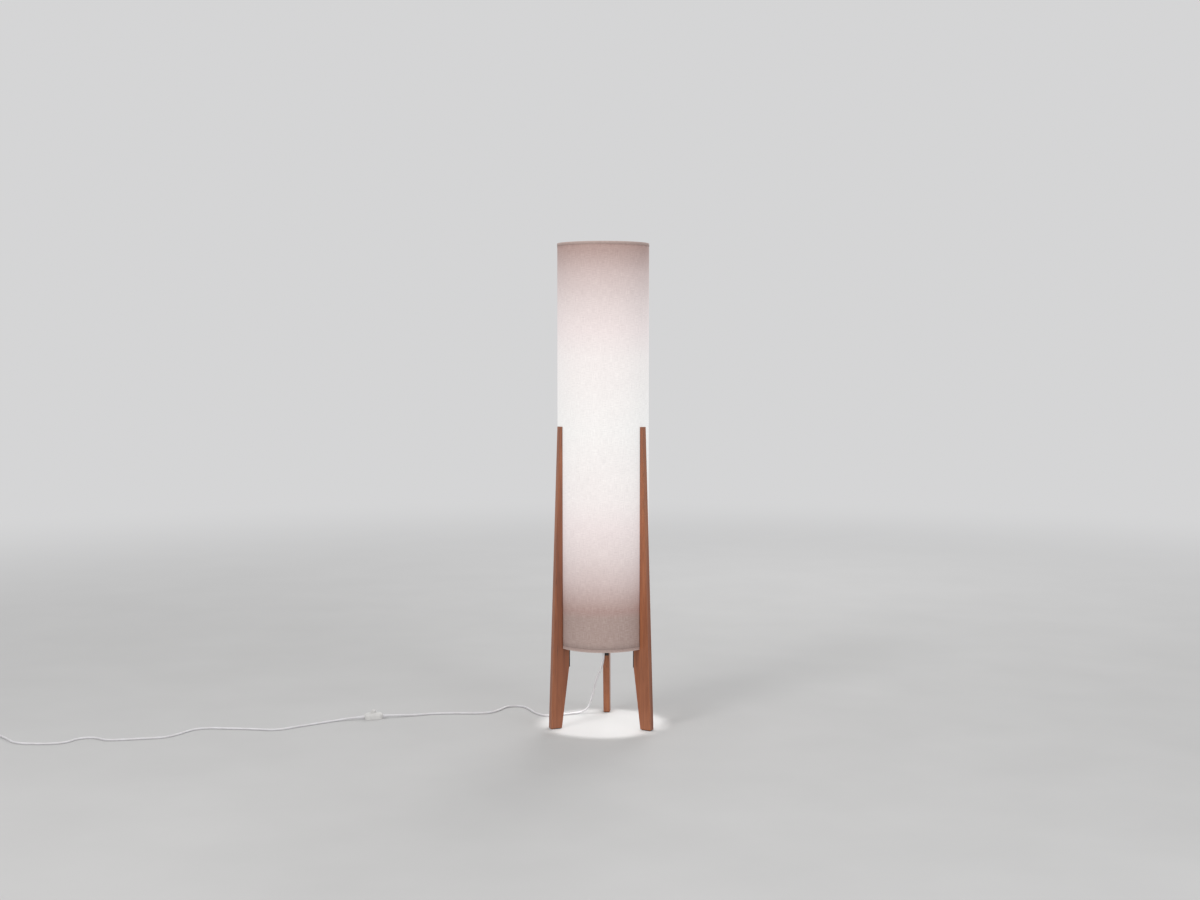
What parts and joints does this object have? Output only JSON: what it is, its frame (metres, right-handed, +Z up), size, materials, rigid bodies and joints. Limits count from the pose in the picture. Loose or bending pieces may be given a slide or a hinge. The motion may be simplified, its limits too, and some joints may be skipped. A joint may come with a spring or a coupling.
{
  "type": "column floor lamp",
  "caption": "Tall cylindrical fabric shade standing on three flat tapered wooden legs, with a mains cord, foot switch and plug.",
  "frame": {"origin": "point on the floor under the shade's axis", "axes": "+Z up along the shade; -Y is the front, with a leg 60 degrees to either side of it and the third at +Y; the cord leaves towards -X"},
  "size_m": [1.8727, 0.5905, 1.32],
  "materials": {
    "linen": "woven linen-look fabric, off-white, slubbed",
    "liner_white": "smooth matt white shade liner",
    "edge_tape": "folded edge tape, fine weave",
    "black_steel": "black powder coat on steel",
    "walnut": "reddish-brown stained wood, satin lacquer, grain along the leg",
    "foot_felt": "dark soft foot pad",
    "black_screw": "blackened steel screw",
    "zinc": "zinc plated steel",
    "holder_plastic": "matt black heat-resistant plastic",
    "ceramic_white": "unglazed white ceramic",
    "brass": "bare stamped brass",
    "aluminium": "drawn aluminium",
    "opal": "opal diffuser, lit from inside",
    "bulb_white": "white moulded plastic, slight gloss",
    "black_insulator": "black moulded insulator",
    "white_pvc": "white PVC sheath, soft sheen",
    "switch_white": "white moulded plastic, fine satin texture",
    "wire": "insulated conductor",
    "spring_steel": "spring steel wire",
    "nickel": "nickel plated brass",
    "sleeve_black": "insulating sleeve"
  },
  "bodies": {
    "lamp": {"bottom_binding": "edge_tape", "bulb_board": "aluminium", "bulb_cap": "aluminium", "bulb_globe": "opal", "bulb_housing": "bulb_white", "bulb_insulator": "black_insulator", "bulb_pip": "zinc", "coil_ties": "white_pvc", "cord_coil": "white_pvc", "cord_drop": "white_pvc", "cord_grip": "white_pvc", "cord_run": "white_pvc", "cord_tail": "white_pvc", "foot_pad_back": "foot_felt", "foot_pad_left": "foot_felt", "foot_pad_right": "foot_felt", "grip_screw": "black_screw", "holder_body": "holder_plastic", "holder_cap": "holder_plastic", "holder_contact": "brass", "holder_insert": "ceramic_white", "holder_nipple": "zinc", "holder_nuts": "zinc", "holder_shell": "nickel", "holder_wires": "wire", "inner_lead": "white_pvc", "lamp_spider": "black_steel", "lead_tie": "white_pvc", "leg_back": "walnut", "leg_left": "walnut", "leg_right": "walnut", "lower_frame": "black_steel", "plug_body": "white_pvc", "plug_pins": "nickel", "plug_relief": "white_pvc", "plug_sleeves": "sleeve_black", "shade_fabric": "linen", "shade_liner": "liner_white", "spider_screws": "black_screw", "switch_base": "switch_white", "switch_contacts": "brass", "switch_cover": "switch_white", "switch_inlet": "white_pvc", "switch_outlet": "white_pvc", "switch_screws": "zinc", "switch_spring": "spring_steel", "switch_wires": "wire", "tab_screws": "black_screw", "terminal_screws": "brass", "top_binding": "edge_tape", "top_ring": "black_steel"},
    "switch_button": {"switch_button": "switch_white", "switch_bridge": "brass"}
  },
  "joints": [
    {"name": "foot_button", "type": "slide", "parent": "lamp", "child": "switch_button", "axis": [0, 0, -1], "range_m": [0, 0.0035], "stiffness_N_per_m": 1200, "springref_m": -0.0015, "deforming": ["switch_spring"]}
  ]
}
